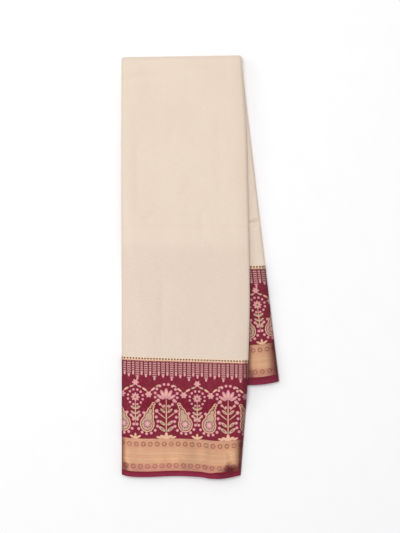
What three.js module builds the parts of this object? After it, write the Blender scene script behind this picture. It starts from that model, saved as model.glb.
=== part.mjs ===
// A silk saree folded for the shelf and laid flat.
//
// The cloth, about 6 m long and 1.15 m wide, is halved five times along its length into a bundle
// of 32 layers. The bundle is as wide as a hand is long, and as long as the cloth is wide. It is
// then turned over a cross fold, so a long front leg lies on a shorter back leg, which is swung
// out to the right. The saree's two woven borders end the two legs.
//
// The outermost cloth is a wall that wraps the bundle: over the face, round the last side fold on
// the right, along the back, and in round a smaller fold on the left. It is cut into one node for
// each woven band of each stretch that shows. The 30 layers inside share one solid, with its
// layers stepped at both hems and at the open left side.
//
// Millimetres. +X is the right of the photographed face, +Y runs towards the cross fold, and +Z
// is up from the surface. The origin is on that surface, in the middle of the footprint.

import * as THREE from 'three';

// Driving dimensions
const LEG_THICKNESS = 9;        // 32 pressed layers of cloth, each 0.28 thick
const LEG_GAP = 0.4;            // air between the front leg and the back leg
const WALL = 1.0;               // the outermost cloth
const PIECE_GAP = 0.3;          // between neighbouring pieces
const FOLD_WIDTH = 182.4;       // the bundle's width at the cross fold
const FRONT_LENGTH = 638.6;     // from the cross fold's crown down to the front hem
const TOP_SLANT = 2.9;          // how far the crown's left end lies below its right end
const BACK_HEM_LEFT = { across: 54.4, down: 503.4 };
const BACK_HEM_RIGHT = { across: 239.9, down: 496.1 };
const TUCK_DEPTH = 10;          // how far the face cloth turns in under the left fold
const FRONT_BANDS = { selvedge: 8.6, zari: 57.8, figured: 181.6 };  // their tops, up from the hem
const BACK_BANDS = { selvedge: 12.0, zari: 61.6, figured: 181.6 };
const SEAM_BY_FOLD = 9;         // the fold's own cloth starts this far down each leg
const CREASE_DOWN = 264;        // the packing crease across the face
const CREASE = { depth: 0.8, reach: 11 };
const REST_SLOPE = 32;          // the front leg comes down off the back leg over this distance
const REST_MARGIN = 11;         // and stays level this far past its edge
const HEM_PUFF = 2.2;           // how far the loose front hem stands up, near its right corner

const FOLD_RADIUS = LEG_THICKNESS + LEG_GAP / 2;
const SIDE_RADIUS = LEG_THICKNESS / 2;
const CURL_RADIUS = LEG_THICKNESS / 4;
const FRONT_LEG = FRONT_LENGTH - FOLD_RADIUS;
const BACK_LEG = (BACK_HEM_LEFT.down + BACK_HEM_RIGHT.down) / 2 - FOLD_RADIUS;

// Mesh density
const ACROSS_STEPS = 14;
const ACROSS_POWER = 1.1;       // stations are closer at the left, where the front leg slopes
const SIDE_STEPS = 4;
const CURL_STEPS = 3;

// The right edge of the front leg, as seen from above
const FRONT_RIGHT_EDGE = [
  { down: 0, across: 182.4 },
  { down: 12, across: 182.6 },
  { down: 60, across: 186.0 },
  { down: 120, across: 189.6 },
  { down: 200, across: 191.6 },
  { down: 300, across: 194.0 },
  { down: 375, across: 195.0 },
  { down: 450, across: 193.2 },
  { down: 520, across: 190.5 },
  { down: 580, across: 186.0 },
  { down: 640, across: 181.3 },
];
// How far the weft lines droop towards the right edge, along each leg from fold to hem
const FRONT_DROOP = [
  { along: 0, droop: 0 },
  { along: 0.45, droop: 3.5 },
  { along: 0.715, droop: 6 },
  { along: 0.91, droop: 3.3 },
  { along: 1, droop: 0 },
];
const BACK_DROOP = [
  { along: 0, droop: 0 },
  { along: 0.63, droop: 3.5 },
  { along: 0.88, droop: 1.7 },
  { along: 1, droop: 0 },
];
// The waves of the two hems, below a straight line between their corners
const FRONT_HEM = [
  { share: 0, droop: 0 },
  { share: 0.07, droop: 2.8 },
  { share: 0.18, droop: 3.8 },
  { share: 0.45, droop: 2.0 },
  { share: 0.66, droop: 3.2 },
  { share: 0.73, droop: 5.4 },
  { share: 0.79, droop: 6.1 },
  { share: 0.86, droop: 5.4 },
  { share: 1, droop: 0.6 },
];
const BACK_HEM = [
  { share: 0, droop: 0 },
  { share: 0.5, droop: 3.2 },
  { share: 0.8, droop: 4.2 },
  { share: 0.9, droop: 3.2 },
  { share: 1, droop: 0 },
];
// The inner layers' edges, from the inside of the leg outwards: how high each edge is, how far it
// lies in from the left, and how far short of the hem it ends. Every second edge pair is a groove.
const LAYER_EDGES = [
  { height: 1.3, in: 1.3, short: 0.6 },
  { height: 2.0, in: 1.0, short: 0.6 },
  { height: 2.1, in: 3.2, short: 2.6 },
  { height: 2.2, in: 0.6, short: 0.2 },
  { height: 3.05, in: 0.6, short: 0.2 },
  { height: 3.15, in: 3.2, short: 2.6 },
  { height: 3.25, in: 1.1, short: 1.0 },
  { height: 4.18, in: 1.1, short: 1.0 },
  { height: 4.2, in: TUCK_DEPTH + PIECE_GAP, short: 2.8 },
  { height: 5.78, in: TUCK_DEPTH + PIECE_GAP, short: 0.5 },
  { height: 5.8, in: CURL_RADIUS, short: 0.5 },
  { height: 6.75, in: 1.3, short: 1.4 },
  { height: 7.7, in: CURL_RADIUS, short: 0.8 },
];

const CREAM = { color: 0xead9c4, roughness: 0.62, metalness: 0 };
const MAROON = { color: 0x8a2546, roughness: 0.6, metalness: 0 };
const ZARI = { color: 0xd6a577, roughness: 0.42, metalness: 0.45 };

const mix = (a, b, share) => a + (b - a) * share;
const rise = THREE.MathUtils.smoothstep;

// A smooth curve through the rows of a table, read from one named column to another
function curveOf(table, from, to) {
  const points = table.map((row) => new THREE.Vector3(row[from], row[to], 0));
  return (x) => {
    const last = points.length - 2;
    const i = Math.min(last, Math.max(0, points.findIndex((p) => p.x > x) - 1));
    const k = x >= points[last].x ? last : i;
    const [before, a, b, after] = [points[Math.max(0, k - 1)], points[k], points[k + 1],
      points[Math.min(last + 1, k + 2)]];
    const slopeA = (b.y - before.y) / (b.x - before.x);
    const slopeB = (after.y - a.y) / (after.x - a.x);
    const span = b.x - a.x;
    const t = THREE.MathUtils.clamp((x - a.x) / span, 0, 1);
    const [t2, t3] = [t * t, t * t * t];
    return (2 * t3 - 3 * t2 + 1) * a.y + (t3 - 2 * t2 + t) * span * slopeA
      + (3 * t2 - 2 * t3) * b.y + (t3 - t2) * span * slopeB;
  };
}

const frontRight = curveOf(FRONT_RIGHT_EDGE, 'down', 'across');
const frontDroop = curveOf(FRONT_DROOP, 'along', 'droop');
const backDroop = curveOf(BACK_DROOP, 'along', 'droop');
const frontHem = curveOf(FRONT_HEM, 'share', 'droop');
const backHem = curveOf(BACK_HEM, 'share', 'droop');

// Plan places: across from the front leg's left edge, and down from the cross fold's crown.
// share runs from the left edge to the right, and along from the cross fold's axis to the hem.
function frontPlan(share, along) {
  const downLeft = mix(FOLD_RADIUS + TOP_SLANT, FRONT_LENGTH - 0.6, along);
  const downRight = mix(FOLD_RADIUS, FRONT_LENGTH, along) + frontDroop(along);
  const wave = frontHem(share) * rise(along, 0.8, 1);
  return {
    across: share * frontRight(downRight),
    down: mix(downLeft, downRight, share) + wave,
  };
}

function backPlan(share, along) {
  const left = {
    across: mix(0, BACK_HEM_LEFT.across, along),
    down: mix(FOLD_RADIUS + TOP_SLANT, BACK_HEM_LEFT.down, along),
  };
  const right = {
    across: mix(FOLD_WIDTH, BACK_HEM_RIGHT.across, along),
    down: mix(FOLD_RADIUS, BACK_HEM_RIGHT.down, along) + backDroop(along),
  };
  return {
    across: mix(left.across, right.across, share),
    down: mix(left.down, right.down, share) + backHem(share) * rise(along, 0.6, 1),
  };
}

// How high the front leg's underside lies: on the back leg, and down to the surface past it
function restHeight({ across, down }) {
  const along = THREE.MathUtils.clamp((down - FOLD_RADIUS) / BACK_LEG, 0, 1);
  const pastLeft = BACK_HEM_LEFT.across * along - across;
  const backShare = THREE.MathUtils.clamp(
    (across - BACK_HEM_LEFT.across) / (BACK_HEM_RIGHT.across - BACK_HEM_LEFT.across), 0, 1);
  const pastHem = down - backPlan(backShare, 1).down;
  const level = (past) => 1 - rise(past, REST_MARGIN, REST_MARGIN + REST_SLOPE);
  return (LEG_THICKNESS + LEG_GAP) * level(pastLeft) * level(pastHem);
}

// What the face has of its own: a loose hem and the packing crease
function faceRelief(share, along, down) {
  const puff = HEM_PUFF * rise(along, 0.88, 1) * Math.exp(-(((share - 0.8) / 0.16) ** 2));
  const crease = CREASE.depth * Math.exp(-(((down - CREASE_DOWN) / CREASE.reach) ** 2));
  return puff - crease;
}

// A station is one cross section of the bundle, on a leg or on the cross fold. Each gives the
// bundle's width there, and puts a point of the section into space. height is measured through
// the bundle, from its inner side to its outer one.
function frontStation(along) {
  const width = frontPlan(1, along).across;
  const place = (share, height) => {
    const plan = frontPlan(share, along);
    const relief = faceRelief(share, along, plan.down) * (height / LEG_THICKNESS);
    return new THREE.Vector3(plan.across, -plan.down, restHeight(plan) + height + relief);
  };
  return { width, place };
}

function backStation(along) {
  const width = backPlan(1, along).across - backPlan(0, along).across;
  const place = (share, height) => {
    const plan = backPlan(share, along);
    return new THREE.Vector3(plan.across, -plan.down, LEG_THICKNESS - height);
  };
  return { width, place };
}

function foldStation(angle) {
  const place = (share, height) => {
    const radius = LEG_GAP / 2 + height;
    const axisDown = FOLD_RADIUS + TOP_SLANT * (1 - share);
    return new THREE.Vector3(
      share * FOLD_WIDTH,
      -axisDown + radius * Math.sin(angle),
      FOLD_RADIUS + radius * Math.cos(angle),
    );
  };
  return { width: FOLD_WIDTH, place };
}

// Distances up from a hem, as stations of a leg
const frontAt = (fromHem) => frontStation(1 - fromHem / FRONT_LEG);
const backAt = (fromHem) => backStation(1 - fromHem / BACK_LEG);
const spread = (first, last, steps) =>
  Array.from({ length: steps + 1 }, (_, i) => mix(first, last, i / steps));

// A point of the bundle's section: so far in from its left or right edge, and so high
const fromLeft = (inset, height) => ({ height, share: (width) => inset / width });
const fromRight = (inset, height) => ({ height, share: (width) => 1 - inset / width });
const between = (t, height) => ({
  height,
  share: (width) => mix(CURL_RADIUS / width, 1 - SIDE_RADIUS / width, t),
});
const acrossShares = spread(0, 1, ACROSS_STEPS).map((t) => t ** ACROSS_POWER);

// The outermost cloth's section, followed along its outer or its inner side
function wrapLine(depth) {
  const middle = LEG_THICKNESS / 2;
  const upper = LEG_THICKNESS - CURL_RADIUS;
  const side = spread(-Math.PI / 2, Math.PI / 2, SIDE_STEPS).slice(1, -1).map((a) => fromRight(
    SIDE_RADIUS - (SIDE_RADIUS - depth) * Math.cos(a),
    middle + (SIDE_RADIUS - depth) * Math.sin(a),
  ));
  const curl = spread(Math.PI / 2, -Math.PI / 2, CURL_STEPS).slice(1).map((a) => fromLeft(
    CURL_RADIUS - (CURL_RADIUS - depth) * Math.cos(a),
    upper + (CURL_RADIUS - depth) * Math.sin(a),
  ));
  return [
    fromLeft(0.8, depth),
    ...acrossShares.map((t) => between(t, depth)),
    ...side,
    ...acrossShares.map((t) => between(t, LEG_THICKNESS - depth)).reverse(),
    ...curl,
    fromLeft(TUCK_DEPTH, middle + depth),
  ];
}

const WRAP_SECTION = [...wrapLine(0), ...wrapLine(WALL).reverse()];

function meshOf(name, points, faces, finish) {
  const geometry = new THREE.BufferGeometry();
  geometry.setAttribute('position',
    new THREE.Float32BufferAttribute(points.flatMap((p) => [p.x, p.y, p.z]), 3));
  geometry.setIndex(faces.flat());
  geometry.computeVertexNormals();
  const mesh = new THREE.Mesh(geometry, new THREE.MeshStandardMaterial(finish));
  mesh.name = name;
  return mesh;
}

const quad = (a, b, c, d) => [[a, b, c], [a, c, d]];

// A wall of cloth: the wrap's section set at each station, joined ring to ring, with a strip at
// each end between its outer and its inner line
function wrap(name, stations, finish) {
  const ring = WRAP_SECTION.length;
  const half = ring / 2;
  const points = stations.flatMap(({ width, place }) =>
    WRAP_SECTION.map((spot) => place(spot.share(width), spot.height)));
  const faces = [];
  for (let k = 0; k + 1 < stations.length; k += 1) {
    for (let i = 0; i < ring; i += 1) {
      const j = (i + 1) % ring;
      faces.push(...quad(k * ring + i, (k + 1) * ring + i, (k + 1) * ring + j, k * ring + j));
    }
  }
  const end = (stations.length - 1) * ring;
  for (let i = 0; i + 1 < half; i += 1) {
    const [outer, inner] = [[i, i + 1], [ring - 1 - i, ring - 2 - i]];
    faces.push(...quad(outer[0], outer[1], inner[1], inner[0]));
    faces.push(...quad(end + outer[0], end + inner[0], end + inner[1], end + outer[1]));
  }
  return meshOf(name, points, faces, finish);
}

// The layers inside: a block of stations, shares and layer edges, of which the outside is kept
function innerLayers(name, stationsFor, finish) {
  const counts = [stationsFor(LAYER_EDGES[0]).length, ACROSS_STEPS + 1, LAYER_EDGES.length];
  const points = [];
  const indexOf = new Map();
  const at = (k, i, j) => {
    const key = `${k} ${i} ${j}`;
    if (!indexOf.has(key)) {
      const edge = LAYER_EDGES[j];
      const { width, place } = stationsFor(edge)[k];
      const radius = SIDE_RADIUS - WALL - PIECE_GAP;
      const off = Math.min(radius, Math.abs(edge.height - LEG_THICKNESS / 2));
      const inRight = SIDE_RADIUS - Math.sqrt(radius ** 2 - off ** 2);
      const share = i === 0 ? edge.in / width
        : i === ACROSS_STEPS ? 1 - inRight / width
          : between(acrossShares[i]).share(width);
      indexOf.set(key, points.length);
      points.push(place(share, edge.height));
    }
    return indexOf.get(key);
  };
  const [lastK, lastI, lastJ] = counts.map((n) => n - 1);
  const faces = [];
  const sheet = (rows, columns, corner) => {
    for (let r = 0; r < rows; r += 1) {
      for (let c = 0; c < columns; c += 1) {
        faces.push(...quad(corner(r, c), corner(r + 1, c), corner(r + 1, c + 1), corner(r, c + 1)));
      }
    }
  };
  sheet(lastI, lastK, (i, k) => at(k, lastI - i, 0));
  sheet(lastI, lastK, (i, k) => at(k, i, lastJ));
  sheet(lastJ, lastK, (j, k) => at(k, 0, j));
  sheet(lastK, lastJ, (k, j) => at(k, lastI, j));
  sheet(lastI, lastJ, (i, j) => at(0, i, j));
  sheet(lastJ, lastI, (j, i) => at(lastK, i, j));
  return meshOf(name, points, faces, finish);
}

// Where the stations lie, up from each hem
const FRONT_TOP = FRONT_LEG - SEAM_BY_FOLD;
const BACK_TOP = BACK_LEG - SEAM_BY_FOLD;
const creaseFromHem = FRONT_LENGTH - CREASE_DOWN;
const creaseStations = [-2, -1, 0, 1, 2].map((n) => creaseFromHem + n * CREASE.reach * 0.7);
const slopeTop = FRONT_LENGTH - BACK_HEM_LEFT.down - REST_MARGIN;
const FRONT_STATIONS = {
  selvedge: [0, FRONT_BANDS.selvedge],
  zari: spread(FRONT_BANDS.selvedge, FRONT_BANDS.zari, 3),
  figured: [
    FRONT_BANDS.zari,
    ...spread(slopeTop - REST_SLOPE - 12, slopeTop + 4, 6),
    150,
    FRONT_BANDS.figured,
  ],
  field: [
    ...spread(FRONT_BANDS.figured, 330, 4),
    ...creaseStations,
    ...spread(430, FRONT_TOP, 4),
  ],
};
const BACK_STATIONS = {
  selvedge: [0, BACK_BANDS.selvedge],
  zari: spread(BACK_BANDS.selvedge, BACK_BANDS.zari, 2),
  figured: spread(BACK_BANDS.zari, BACK_BANDS.figured, 3),
  field: spread(BACK_BANDS.figured, BACK_TOP, 5),
};
const BAND_FINISH = { selvedge: MAROON, zari: ZARI, figured: MAROON, field: CREAM };
const FOLD_ANGLES = spread(0, Math.PI, 6);

// Half a gap is left at each end of a band, so that neighbouring bands don't touch
function trimmed(distances, trimFirst) {
  const last = distances.length - 1;
  return distances.map((d, i) => {
    if (i === 0 && trimFirst) return d + PIECE_GAP / 2;
    return i === last ? d - PIECE_GAP / 2 : d;
  });
}

function bands(side, stations, stationAt, flip) {
  return Object.entries(stations).map(([band, distances]) => {
    const set = trimmed(distances, band !== 'selvedge').map(stationAt);
    return wrap(`${side}_${band}`, flip ? set.reverse() : set, BAND_FINISH[band]);
  });
}

const foldStations = [
  frontAt(FRONT_TOP + PIECE_GAP / 2),
  ...FOLD_ANGLES.map(foldStation),
  backAt(BACK_TOP + PIECE_GAP / 2),
];

// The inner layers run from the front hem over the cross fold to the back hem in one piece
const layerDistances = (stations) => Object.values(stations).flat()
  .filter((d, i, all) => d > 0 && d !== all[i - 1]);
const innerStations = (edge) => [
  frontAt(edge.short),
  ...layerDistances(FRONT_STATIONS).map(frontAt),
  ...FOLD_ANGLES.map(foldStation),
  ...layerDistances(BACK_STATIONS).map(backAt).reverse(),
  backAt(edge.short),
];

const saree = new THREE.Group();
saree.name = 'folded_saree';
saree.add(
  ...bands('front', FRONT_STATIONS, frontAt, false),
  wrap('top_fold', foldStations, CREAM),
  ...bands('back', BACK_STATIONS, backAt, true),
  innerLayers('inner_layers', innerStations, CREAM),
);

// The origin goes to the middle of the footprint
const footprint = new THREE.Box3().setFromObject(saree).getCenter(new THREE.Vector3());
saree.position.set(-footprint.x, -footprint.y, 0);

export default saree;
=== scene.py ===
# %% [markdown]
# # A folded silk saree
# A saree is one length of woven silk, about six metres by 1.15 metres. For the shelf it is halved
# five times along its length, which gives a narrow bundle of 32 layers, and the bundle is turned
# over once. Here it lies flat: a long front leg on a shorter back leg that is swung to the right.
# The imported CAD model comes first, as the frame that every Blender piece is fitted to.

# %% Load the frame
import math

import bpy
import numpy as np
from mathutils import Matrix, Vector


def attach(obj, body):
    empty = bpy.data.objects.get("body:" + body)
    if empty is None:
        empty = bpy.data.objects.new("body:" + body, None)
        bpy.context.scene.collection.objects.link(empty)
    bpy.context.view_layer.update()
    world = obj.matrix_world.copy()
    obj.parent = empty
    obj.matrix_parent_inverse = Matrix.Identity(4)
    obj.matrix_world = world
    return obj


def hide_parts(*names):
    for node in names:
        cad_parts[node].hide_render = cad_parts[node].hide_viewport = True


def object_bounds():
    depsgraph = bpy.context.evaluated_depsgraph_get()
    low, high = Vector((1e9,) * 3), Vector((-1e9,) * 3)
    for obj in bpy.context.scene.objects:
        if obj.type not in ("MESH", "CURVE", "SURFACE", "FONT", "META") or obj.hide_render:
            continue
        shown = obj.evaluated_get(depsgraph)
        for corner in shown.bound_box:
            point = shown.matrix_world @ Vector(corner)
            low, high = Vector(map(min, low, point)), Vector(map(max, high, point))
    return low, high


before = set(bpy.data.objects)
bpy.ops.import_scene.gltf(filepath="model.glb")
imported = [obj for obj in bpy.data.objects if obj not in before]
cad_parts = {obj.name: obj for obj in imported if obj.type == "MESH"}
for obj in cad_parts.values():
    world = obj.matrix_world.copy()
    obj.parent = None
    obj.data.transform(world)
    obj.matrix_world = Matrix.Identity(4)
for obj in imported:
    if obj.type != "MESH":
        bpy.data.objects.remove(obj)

# %% [markdown]
# The CAD box is kept now, before anything is dressed. The shapes below are in millimetres: across
# from the front leg's left edge, and down from the crown of the cross fold.

MM = 0.001
cad_box = [list(corner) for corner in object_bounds()]
print("CAD box, metres:", cad_box)

# %% [markdown]
# The photograph looks straight down. A long lens far away keeps the bundle's edges upright. The
# picture is 533 pixels high, at 1.52 mm a pixel, and that height sets the distance.

# %% Camera
PIXEL = 1.52 * MM
PIXELS_WIDE, PIXELS_HIGH = 400, 533
CENTRE_X, CENTRE_Y = 200.35, 267.1      # the saree's middle in the picture, in pixels
LENS, SENSOR_HIGH = 80, 24
LOOKED_AT_HEIGHT = 12 * MM

camera_data = bpy.data.cameras.new("camera")
camera_data.sensor_fit = "VERTICAL"
camera_data.sensor_height = SENSOR_HIGH
camera_data.lens = LENS
camera = bpy.data.objects.new("camera", camera_data)
bpy.context.collection.objects.link(camera)
frame_height = PIXELS_HIGH * PIXEL
camera.location = (
    (PIXELS_WIDE / 2 - CENTRE_X) * PIXEL,
    (CENTRE_Y - PIXELS_HIGH / 2) * PIXEL,
    LOOKED_AT_HEIGHT + frame_height * LENS / SENSOR_HIGH,
)
bpy.context.scene.camera = camera
print(f"camera {camera.location.z:.3f} m above the table")

# %% [markdown]
# A plain pale table and soft light from a wide panel overhead suit silk. Metal thread mirrors what
# stands over it, so the panel makes the flat gold bright, and the dimmer room makes it darken
# where it turns over an edge. The Standard view keeps the cloth's colours as they are set.


# %% Table, lights and view
def srgb(red, green, blue):
    """A screen colour, 0 to 255, as the linear colour that Blender computes with."""
    def linear(value):
        c = value / 255
        return c / 12.92 if c <= 0.04045 else ((c + 0.055) / 1.055) ** 2.4
    return (linear(red), linear(green), linear(blue), 1.0)


def area_light(name, place, size, power):
    """A square soft light, in metres and watts, that faces the middle of the saree."""
    data = bpy.data.lights.new(name, "AREA")
    data.size, data.energy = size, power
    light = bpy.data.objects.new(name, data)
    light.location = place
    light.rotation_euler = (-Vector(place)).to_track_quat("-Z", "Y").to_euler()
    bpy.context.collection.objects.link(light)


area_light("panel", place=(-0.45, 0.55, 3.1), size=1.7, power=50)
area_light("side_fill", place=(-2.0, 1.0, 1.3), size=1.0, power=8)

ROOM = {"Color": srgb(238, 238, 240), "Strength": 0.62}
TABLE_SIDE = 8

world = bpy.data.worlds.new("room")
world.use_nodes = True
for socket, value in ROOM.items():
    world.node_tree.nodes["Background"].inputs[socket].default_value = value
bpy.context.scene.world = world
bpy.context.scene.view_settings.view_transform = "Standard"

bpy.ops.object.select_all(action="DESELECT")
bpy.ops.mesh.primitive_plane_add(size=TABLE_SIDE, location=(0, 0, 0))
table = bpy.context.object
table.name = "table"

# %% [markdown]
# The bundle's sizes and outline are those of the CAD model, in millimetres. The right edge of the
# front leg bulges, because the folded layers fan out there. The bands' tops differ from leg to
# leg, so the borders are drawn once, with tops of their own, and fitted to each leg.

# %% Sizes and outline
LEG_THICKNESS = 9.0
LEG_GAP = 0.4
FOLD_WIDTH = 182.4
FRONT_LENGTH = 638.6
TOP_SLANT, HEM_SLANT = 2.9, 0.6
BACK_HEM_LEFT = {"across": 54.4, "down": 503.4}
BACK_HEM_RIGHT = {"across": 239.9, "down": 496.1}
TUCK_DEPTH = 10.0
BAND_TOPS = {
    "front": {"selvedge": 8.6, "zari": 57.8, "figured": 181.6},
    "back": {"selvedge": 12.0, "zari": 61.6, "figured": 181.6},
}
DRAWN_TOPS = {"selvedge": 7.9, "zari": 57.8, "figured": 181.6}
SEAM_BY_FOLD = 9.0
REST_SLOPE, REST_MARGIN = 32.0, 11.0
CLOTH = 0.35

FOLD_RADIUS = LEG_THICKNESS + LEG_GAP / 2
SIDE_RADIUS = LEG_THICKNESS / 2
CURL_RADIUS = LEG_THICKNESS / 4
FRONT_LEG = FRONT_LENGTH - FOLD_RADIUS
BACK_LEG = (BACK_HEM_LEFT["down"] + BACK_HEM_RIGHT["down"]) / 2 - FOLD_RADIUS

FRONT_RIGHT_EDGE = {
    "down": [0, 12, 60, 120, 200, 300, 375, 450, 520, 580, 640],
    "across": [182.4, 182.6, 186.0, 189.6, 191.6, 194.0, 195.0, 193.2, 190.5, 186.0, 181.3],
}
FRONT_DROOP = {"along": [0, 0.45, 0.715, 0.91, 1], "droop": [0, 3.5, 6, 3.3, 0]}
BACK_DROOP = {"along": [0, 0.63, 0.88, 1], "droop": [0, 3.5, 1.7, 0]}
FRONT_HEM = {
    "share": [0, 0.07, 0.18, 0.45, 0.66, 0.73, 0.79, 0.86, 1],
    "droop": [0, 2.8, 3.8, 2.0, 3.2, 5.4, 6.1, 5.4, 0.6],
}
BACK_HEM = {"share": [0, 0.5, 0.8, 0.9, 1], "droop": [0, 3.2, 4.2, 3.2, 0]}
print(f"front leg {FRONT_LEG:.1f} mm, back leg {BACK_LEG:.1f} mm")

# %% [markdown]
# Each outline table is read through a smooth curve, so that no edge has a corner in it. An even
# mix and an even S do most of the other shaping.


# %% Smooth curves
def curve(table):
    """A smooth curve through a table's first and second columns."""
    xs, ys = (np.array(column, float) for column in table.values())
    slopes = np.gradient(ys, xs)
    slopes[1:-1] = (ys[2:] - ys[:-2]) / (xs[2:] - xs[:-2])

    def value(x):
        x = np.asarray(x, float)
        k = np.clip(np.searchsorted(xs, x, side="right") - 1, 0, len(xs) - 2)
        span = xs[k + 1] - xs[k]
        t = np.clip((x - xs[k]) / span, 0, 1)
        return (
            (2 * t**3 - 3 * t**2 + 1) * ys[k] + (t**3 - 2 * t**2 + t) * span * slopes[k]
            + (3 * t**2 - 2 * t**3) * ys[k + 1] + (t**3 - t**2) * span * slopes[k + 1]
        )
    return value


front_right, front_droop, back_droop, front_hem, back_hem = map(
    curve, (FRONT_RIGHT_EDGE, FRONT_DROOP, BACK_DROOP, FRONT_HEM, BACK_HEM)
)


def mix(a, b, share):
    return a + (b - a) * share


def rise(x, low, high):
    """0 below low, 1 above high, and an even S between them."""
    t = np.clip((np.asarray(x, float) - low) / (high - low), 0, 1)
    return t * t * (3 - 2 * t)


# %% [markdown]
# Where cloth lies in the plan view: share runs from a leg's left edge to its right, and along from
# the cross fold to the hem. The front leg rests on the back leg and comes down to the table past
# its left edge and its hem, so its underside has a height of its own at each place.


# %% Plan of the two legs
WAVES_FROM = {"front": 0.8, "back": 0.6}


def front_plan(share, along):
    left = mix(FOLD_RADIUS + TOP_SLANT, FRONT_LENGTH - HEM_SLANT, along)
    right = mix(FOLD_RADIUS, FRONT_LENGTH, along) + front_droop(along)
    wave = front_hem(share) * rise(along, WAVES_FROM["front"], 1)
    return share * front_right(right), mix(left, right, share) + wave


def back_plan(share, along):
    left_across = BACK_HEM_LEFT["across"] * along
    right_across = mix(FOLD_WIDTH, BACK_HEM_RIGHT["across"], along)
    left_down = mix(FOLD_RADIUS + TOP_SLANT, BACK_HEM_LEFT["down"], along)
    right_down = mix(FOLD_RADIUS, BACK_HEM_RIGHT["down"], along) + back_droop(along)
    wave = back_hem(share) * rise(along, WAVES_FROM["back"], 1)
    return mix(left_across, right_across, share), mix(left_down, right_down, share) + wave


def rest_height(across, down):
    along = np.clip((down - FOLD_RADIUS) / BACK_LEG, 0, 1)
    past_left = BACK_HEM_LEFT["across"] * along - across
    hem_width = BACK_HEM_RIGHT["across"] - BACK_HEM_LEFT["across"]
    share = np.clip((across - BACK_HEM_LEFT["across"]) / hem_width, 0, 1)
    past_hem = down - back_plan(share, 1.0)[1]

    def level(past):
        return 1 - rise(past, REST_MARGIN, REST_MARGIN + REST_SLOPE)
    return (LEG_THICKNESS + LEG_GAP) * level(past_left) * level(past_hem)


# %% [markdown]
# Pressed silk is never quite flat. A crease is a narrow trough with a low ridge on each side, which
# is how a sharp fold looks once the cloth is opened and laid down again. A dent is a short crease.
# Simulated cloth would lose these long straight lines, so they are written as a table.

# %% Creases
CREASE_COLUMNS = ("across", "down", "length", "width", "turn", "depth")
RIDGES = 0.9
FRONT_CREASES = [
    (96, 264, 230, 4, 0, 0.35),   # the packing crease, right across
    (30, 34, 60, 8, -3, 1.3),     # a ripple under the cross fold
    (118, 22, 60, 7, 4, 0.6),
    (24, 176, 100, 9, 89, 1.0),   # long creases along the bundle
    (62, 392, 110, 10, 92, 0.9),
    (62, 376, 26, 8, 90, 0.8),
    (148, 150, 120, 10, 87, 0.6),
    (104, 452, 84, 9, 94, 0.5),
    (75, 124, 18, 9, 60, 1.0),    # small dents
    (138, 289, 34, 8, 52, 1.2),
    (122, 262, 44, 8, 88, 0.8),
    (44, 246, 20, 7, -24, 0.7),
    (158, 418, 22, 7, 64, 0.7),
    (96, 208, 26, 7, -50, 0.5),
    (122, 516, 40, 7, 78, 0.6),
    (52, 560, 44, 8, 97, 0.45),
    (88, 598, 46, 9, 86, 0.75),   # flutes that the hem's waves run into
    (128, 604, 40, 8, 98, 0.60),
    (168, 618, 28, 8, 66, 1.90),  # the hollow by the hem's right corner
    (8, 626, 22, 7, 80, 1.30),
]
BACK_CREASES = [
    (201, 214, 52, 6, 104, 1.20),
    (199, 256, 22, 6, -10, 3.80),
    (212, 250, 22, 4, -24, 0.90),
    (197, 296, 96, 5, 88, 1.30),
    (212, 292, 40, 5, 84, 0.50),
    (222, 388, 40, 6, 84, 0.45),
    (216, 470, 30, 8, 78, 0.90),
    (231, 440, 50, 7, 84, 0.80),
]


def creases(table, across, down):
    """How far the cloth stands out of its flat place, in mm, from all the creases of a table."""
    relief = np.zeros(np.broadcast(across, down).shape)
    for row in table:
        c = dict(zip(CREASE_COLUMNS, row))
        turn = math.radians(c["turn"])
        x, y = across - c["across"], down - c["down"]
        run = x * math.cos(turn) + y * math.sin(turn)
        side = -x * math.sin(turn) + y * math.cos(turn)
        q = (side / c["width"]) ** 2
        fade = np.exp(-((2 * run / c["length"]) ** 4))
        relief -= c["depth"] * (1 - RIDGES * q) * np.exp(-q) * fade
    return relief


print(len(FRONT_CREASES), "creases on the front leg,", len(BACK_CREASES), "on the back leg")

# %% [markdown]
# The rest of the relief is wide and shallow: slow waves from the thirty layers below, a rounding
# towards both edges, and a loose hem that puffs up on the right and runs in flutes. The back leg
# has relief only where it shows beside the front leg, which presses a dent along its border.

# %% Relief of the two legs
SWELLS = ((0.16, 29, 83, 0.7), (0.13, 17, -47, 2.1), (0.10, 61, 31, 0))
RIGHT_EDGE = {"sinks": (1.3, 3.0), "between": (300, 470), "reach": 7}
LEFT_EDGE = {"sinks": (0.8, 1.8), "between": (560, 620), "reach": 5}
LOOSE_HEM = (562, 636)
PUFF = {"height": 2.2, "share": 0.8, "width": 0.16}
FLUTES = {"height": 0.7, "wave": 8.6, "start": 1.2}
PACKING_FOLD = {"down": 264, "width": 22, "depth": 0.35}
ABOVE_FOLD = {"height": 0.3, "between": (262, 230)}
FADE_BY_FOLD = 18
BACK_STARTS, BACK_SWELL_OFFSET, BACK_SINKS = (40, 90), 40, 0.1
PROUD_FROM, SUNK_FROM = (3, 12), (-8, 0)
BORDER_DENT = {"depth": 2.0, "between": (385, 430), "reach": 6}


def swell(across, down):
    return sum(
        height * np.sin(across / wide + down / long + start)
        for height, wide, long, start in SWELLS
    )


def edge_drop(edge, inward, down):
    """How far the cloth sinks at a place that lies so far inward from a soft edge."""
    deepest = mix(*edge["sinks"], rise(down, *edge["between"]))
    return deepest * np.exp(-np.maximum(inward, 0) / edge["reach"])


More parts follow.
